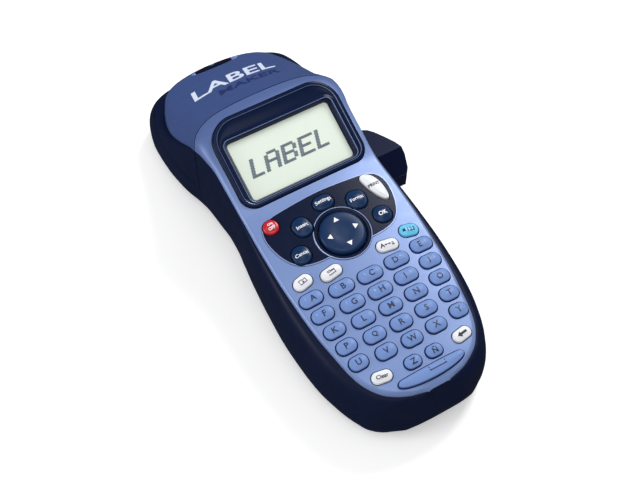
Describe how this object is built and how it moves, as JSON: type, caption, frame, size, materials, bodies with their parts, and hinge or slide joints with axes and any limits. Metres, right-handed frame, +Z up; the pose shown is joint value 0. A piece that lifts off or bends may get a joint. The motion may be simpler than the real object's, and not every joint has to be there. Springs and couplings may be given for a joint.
{
  "type": "handheld label maker",
  "caption": "Handheld label maker with waisted shell, tilted display, letter keypad, hinged cassette door, side cutter lever and battery bay; keys press and the tape drive turns.",
  "frame": {"origin": "on the resting plane, in the body's symmetry plane, 101 mm from the tail end", "axes": "+Z up from the resting plane, +Y towards the head where the label comes out, +X to the reader's right, on the cutter lever's side"},
  "size_m": [0.089, 0.2055, 0.0569],
  "materials": {
    "shell_navy": "moulded, satin gloss",
    "panel_blue": "pearl paint over moulded plastic",
    "bezel_navy": "polished",
    "display_glass": "clear over a reflective back",
    "inlay_blue": "satin film",
    "lever_navy": "moulded, satin",
    "blade_steel": "ground edge",
    "board_green": "solder mask",
    "mat_rubber": "moulded silicone",
    "cassette_grey": "moulded",
    "tape_white": "wound label tape",
    "roller_rubber": "ground",
    "head_ceramic": "ceramic strip on a metal sink",
    "motor_steel": "drawn case",
    "cell_wrap": "printed sleeve",
    "screw_steel": "zinc plated",
    "key_function": "satin silicone",
    "key_white": "satin",
    "key_blue": "satin silicone",
    "key_red": "satin dome",
    "key_cyan": "satin"
  },
  "bodies": {
    "housing": {"rear_housing": "shell_navy", "front_housing": "panel_blue", "display_bezel": "bezel_navy", "lcd_module": "display_glass", "function_panel": "inlay_blue", "circuit_board": "board_green", "keypad_mat": "mat_rubber", "tape_cassette": "cassette_grey", "print_head": "head_ceramic", "drive_motor": "motor_steel", "batteries": "cell_wrap", "screws": "screw_steel"},
    "door": {"cassette_door": "panel_blue"},
    "lever": {"cutter_lever": "lever_navy"},
    "blade": {"cutter_blade": "blade_steel"},
    "cover": {"battery_cover": "shell_navy"},
    "spool": {"tape_spool": "tape_white"},
    "roller": {"platen_roller": "roller_rubber"},
    "key_on_off": {"key_on_off": "key_red"},
    "key_insert": {"key_insert": "key_function"},
    "key_settings": {"key_settings": "key_function"},
    "key_format": {"key_format": "key_function"},
    "key_print": {"key_print": "key_white"},
    "key_ok": {"key_ok": "key_function"},
    "key_cancel": {"key_cancel": "key_function"},
    "key_navigation": {"key_navigation": "key_function"},
    "key_save": {"key_save": "key_white"},
    "key_load": {"key_load": "key_white"},
    "key_caps": {"key_caps": "key_white"},
    "key_numbers": {"key_numbers": "key_cyan"},
    "key_clear": {"key_clear": "key_white"},
    "key_z": {"key_z": "key_blue"},
    "key_n_tilde": {"key_n_tilde": "key_blue"},
    "key_backspace": {"key_backspace": "key_white"},
    "key_space": {"key_space": "key_blue"},
    "key_a": {"key_a": "key_blue"},
    "key_b": {"key_b": "key_blue"},
    "key_c": {"key_c": "key_blue"},
    "key_d": {"key_d": "key_blue"},
    "key_e": {"key_e": "key_blue"},
    "key_f": {"key_f": "key_blue"},
    "key_g": {"key_g": "key_blue"},
    "key_h": {"key_h": "key_blue"},
    "key_i": {"key_i": "key_blue"},
    "key_j": {"key_j": "key_blue"},
    "key_k": {"key_k": "key_blue"},
    "key_l": {"key_l": "key_blue"},
    "key_m": {"key_m": "key_blue"},
    "key_n": {"key_n": "key_blue"},
    "key_o": {"key_o": "key_blue"},
    "key_p": {"key_p": "key_blue"},
    "key_q": {"key_q": "key_blue"},
    "key_r": {"key_r": "key_blue"},
    "key_s": {"key_s": "key_blue"},
    "key_t": {"key_t": "key_blue"},
    "key_u": {"key_u": "key_blue"},
    "key_v": {"key_v": "key_blue"},
    "key_w": {"key_w": "key_blue"},
    "key_x": {"key_x": "key_blue"},
    "key_y": {"key_y": "key_blue"}
  },
  "joints": [
    {"name": "door_hinge", "type": "hinge", "parent": "housing", "child": "door", "pos_m": [0, 0.0985, 0.007], "axis": [-1, 0, 0], "range_deg": [0, 95]},
    {"name": "lever_press", "type": "hinge", "parent": "housing", "child": "lever", "pos_m": [0.0304, 0.029, 0.0168], "axis": [0, 0, -1], "range_deg": [0, 12], "stiffness_Nm_per_rad": 0.2},
    {"name": "blade_slide", "type": "slide", "parent": "housing", "child": "blade", "axis": [1, 0, 0], "range_m": [0, 0.0125]},
    {"name": "cover_hinge", "type": "hinge", "parent": "housing", "child": "cover", "pos_m": [0, -0.0737, 0.0013], "axis": [-1, 0, 0], "range_deg": [0, 100]},
    {"name": "roller_turn", "type": "hinge", "parent": "housing", "child": "roller", "pos_m": [0, 0.0899, 0.0135], "axis": [-1, 0, 0], "continuous": true},
    {"name": "spool_turn", "type": "hinge", "parent": "housing", "child": "spool", "pos_m": [0, 0.061, 0.0236], "axis": [1, 0, 0], "continuous": true},
    {"name": "press_on_off", "type": "slide", "parent": "housing", "child": "key_on_off", "axis": [0, 0.1028, -0.9947], "range_m": [0, 0.001], "stiffness_N_per_m": 200},
    {"name": "press_insert", "type": "slide", "parent": "housing", "child": "key_insert", "axis": [0, 0.1028, -0.9947], "range_m": [0, 0.001], "stiffness_N_per_m": 200},
    {"name": "press_settings", "type": "slide", "parent": "housing", "child": "key_settings", "axis": [0, 0.1028, -0.9947], "range_m": [0, 0.001], "stiffness_N_per_m": 200},
    {"name": "press_format", "type": "slide", "parent": "housing", "child": "key_format", "axis": [0, 0.1028, -0.9947], "range_m": [0, 0.001], "stiffness_N_per_m": 200},
    {"name": "press_print", "type": "slide", "parent": "housing", "child": "key_print", "axis": [0, 0.1028, -0.9947], "range_m": [0, 0.001], "stiffness_N_per_m": 200},
    {"name": "press_ok", "type": "slide", "parent": "housing", "child": "key_ok", "axis": [0, 0.1028, -0.9947], "range_m": [0, 0.001], "stiffness_N_per_m": 200},
    {"name": "press_cancel", "type": "slide", "parent": "housing", "child": "key_cancel", "axis": [0, 0.1028, -0.9947], "range_m": [0, 0.001], "stiffness_N_per_m": 200},
    {"name": "press_navigation", "type": "slide", "parent": "housing", "child": "key_navigation", "axis": [0, 0.1028, -0.9947], "range_m": [0, 0.001], "stiffness_N_per_m": 200},
    {"name": "press_save", "type": "slide", "parent": "housing", "child": "key_save", "axis": [0, 0.1028, -0.9947], "range_m": [0, 0.001], "stiffness_N_per_m": 200},
    {"name": "press_load", "type": "slide", "parent": "housing", "child": "key_load", "axis": [0, 0.1028, -0.9947], "range_m": [0, 0.001], "stiffness_N_per_m": 200},
    {"name": "press_caps", "type": "slide", "parent": "housing", "child": "key_caps", "axis": [0, 0.1028, -0.9947], "range_m": [0, 0.001], "stiffness_N_per_m": 200},
    {"name": "press_numbers", "type": "slide", "parent": "housing", "child": "key_numbers", "axis": [0, 0.1028, -0.9947], "range_m": [0, 0.001], "stiffness_N_per_m": 200},
    {"name": "press_clear", "type": "slide", "parent": "housing", "child": "key_clear", "axis": [0, 0.1028, -0.9947], "range_m": [0, 0.001], "stiffness_N_per_m": 200},
    {"name": "press_z", "type": "slide", "parent": "housing", "child": "key_z", "axis": [0, 0.1028, -0.9947], "range_m": [0, 0.001], "stiffness_N_per_m": 200},
    {"name": "press_n_tilde", "type": "slide", "parent": "housing", "child": "key_n_tilde", "axis": [0, 0.1028, -0.9947], "range_m": [0, 0.001], "stiffness_N_per_m": 200},
    {"name": "press_backspace", "type": "slide", "parent": "housing", "child": "key_backspace", "axis": [0, 0.1028, -0.9947], "range_m": [0, 0.001], "stiffness_N_per_m": 200},
    {"name": "press_space", "type": "slide", "parent": "housing", "child": "key_space", "axis": [0, 0.1028, -0.9947], "range_m": [0, 0.001], "stiffness_N_per_m": 200},
    {"name": "press_a", "type": "slide", "parent": "housing", "child": "key_a", "axis": [0, 0.1028, -0.9947], "range_m": [0, 0.001], "stiffness_N_per_m": 200},
    {"name": "press_b", "type": "slide", "parent": "housing", "child": "key_b", "axis": [0, 0.1028, -0.9947], "range_m": [0, 0.001], "stiffness_N_per_m": 200},
    {"name": "press_c", "type": "slide", "parent": "housing", "child": "key_c", "axis": [0, 0.1028, -0.9947], "range_m": [0, 0.001], "stiffness_N_per_m": 200},
    {"name": "press_d", "type": "slide", "parent": "housing", "child": "key_d", "axis": [0, 0.1028, -0.9947], "range_m": [0, 0.001], "stiffness_N_per_m": 200},
    {"name": "press_e", "type": "slide", "parent": "housing", "child": "key_e", "axis": [0, 0.1028, -0.9947], "range_m": [0, 0.001], "stiffness_N_per_m": 200},
    {"name": "press_f", "type": "slide", "parent": "housing", "child": "key_f", "axis": [0, 0.1028, -0.9947], "range_m": [0, 0.001], "stiffness_N_per_m": 200},
    {"name": "press_g", "type": "slide", "parent": "housing", "child": "key_g", "axis": [0, 0.1028, -0.9947], "range_m": [0, 0.001], "stiffness_N_per_m": 200},
    {"name": "press_h", "type": "slide", "parent": "housing", "child": "key_h", "axis": [0, 0.1028, -0.9947], "range_m": [0, 0.001], "stiffness_N_per_m": 200},
    {"name": "press_i", "type": "slide", "parent": "housing", "child": "key_i", "axis": [0, 0.1028, -0.9947], "range_m": [0, 0.001], "stiffness_N_per_m": 200},
    {"name": "press_j", "type": "slide", "parent": "housing", "child": "key_j", "axis": [0, 0.1028, -0.9947], "range_m": [0, 0.001], "stiffness_N_per_m": 200},
    {"name": "press_k", "type": "slide", "parent": "housing", "child": "key_k", "axis": [0, 0.1028, -0.9947], "range_m": [0, 0.001], "stiffness_N_per_m": 200},
    {"name": "press_l", "type": "slide", "parent": "housing", "child": "key_l", "axis": [0, 0.1028, -0.9947], "range_m": [0, 0.001], "stiffness_N_per_m": 200},
    {"name": "press_m", "type": "slide", "parent": "housing", "child": "key_m", "axis": [0, 0.1028, -0.9947], "range_m": [0, 0.001], "stiffness_N_per_m": 200},
    {"name": "press_n", "type": "slide", "parent": "housing", "child": "key_n", "axis": [0, 0.1028, -0.9947], "range_m": [0, 0.001], "stiffness_N_per_m": 200},
    {"name": "press_o", "type": "slide", "parent": "housing", "child": "key_o", "axis": [0, 0.1028, -0.9947], "range_m": [0, 0.001], "stiffness_N_per_m": 200},
    {"name": "press_p", "type": "slide", "parent": "housing", "child": "key_p", "axis": [0, 0.1028, -0.9947], "range_m": [0, 0.001], "stiffness_N_per_m": 200},
    {"name": "press_q", "type": "slide", "parent": "housing", "child": "key_q", "axis": [0, 0.1028, -0.9947], "range_m": [0, 0.001], "stiffness_N_per_m": 200},
    {"name": "press_r", "type": "slide", "parent": "housing", "child": "key_r", "axis": [0, 0.1028, -0.9947], "range_m": [0, 0.001], "stiffness_N_per_m": 200},
    {"name": "press_s", "type": "slide", "parent": "housing", "child": "key_s", "axis": [0, 0.1028, -0.9947], "range_m": [0, 0.001], "stiffness_N_per_m": 200},
    {"name": "press_t", "type": "slide", "parent": "housing", "child": "key_t", "axis": [0, 0.1028, -0.9947], "range_m": [0, 0.001], "stiffness_N_per_m": 200},
    {"name": "press_u", "type": "slide", "parent": "housing", "child": "key_u", "axis": [0, 0.1028, -0.9947], "range_m": [0, 0.001], "stiffness_N_per_m": 200},
    {"name": "press_v", "type": "slide", "parent": "housing", "child": "key_v", "axis": [0, 0.1028, -0.9947], "range_m": [0, 0.001], "stiffness_N_per_m": 200},
    {"name": "press_w", "type": "slide", "parent": "housing", "child": "key_w", "axis": [0, 0.1028, -0.9947], "range_m": [0, 0.001], "stiffness_N_per_m": 200},
    {"name": "press_x", "type": "slide", "parent": "housing", "child": "key_x", "axis": [0, 0.1028, -0.9947], "range_m": [0, 0.001], "stiffness_N_per_m": 200},
    {"name": "press_y", "type": "slide", "parent": "housing", "child": "key_y", "axis": [0, 0.1028, -0.9947], "range_m": [0, 0.001], "stiffness_N_per_m": 200}
  ],
  "couplings": [
    {"joint": "blade_slide", "follows": "lever_press", "m_per_rad": 0.0594},
    {"joint": "spool_turn", "follows": "roller_turn", "ratio": 0.2857}
  ]
}
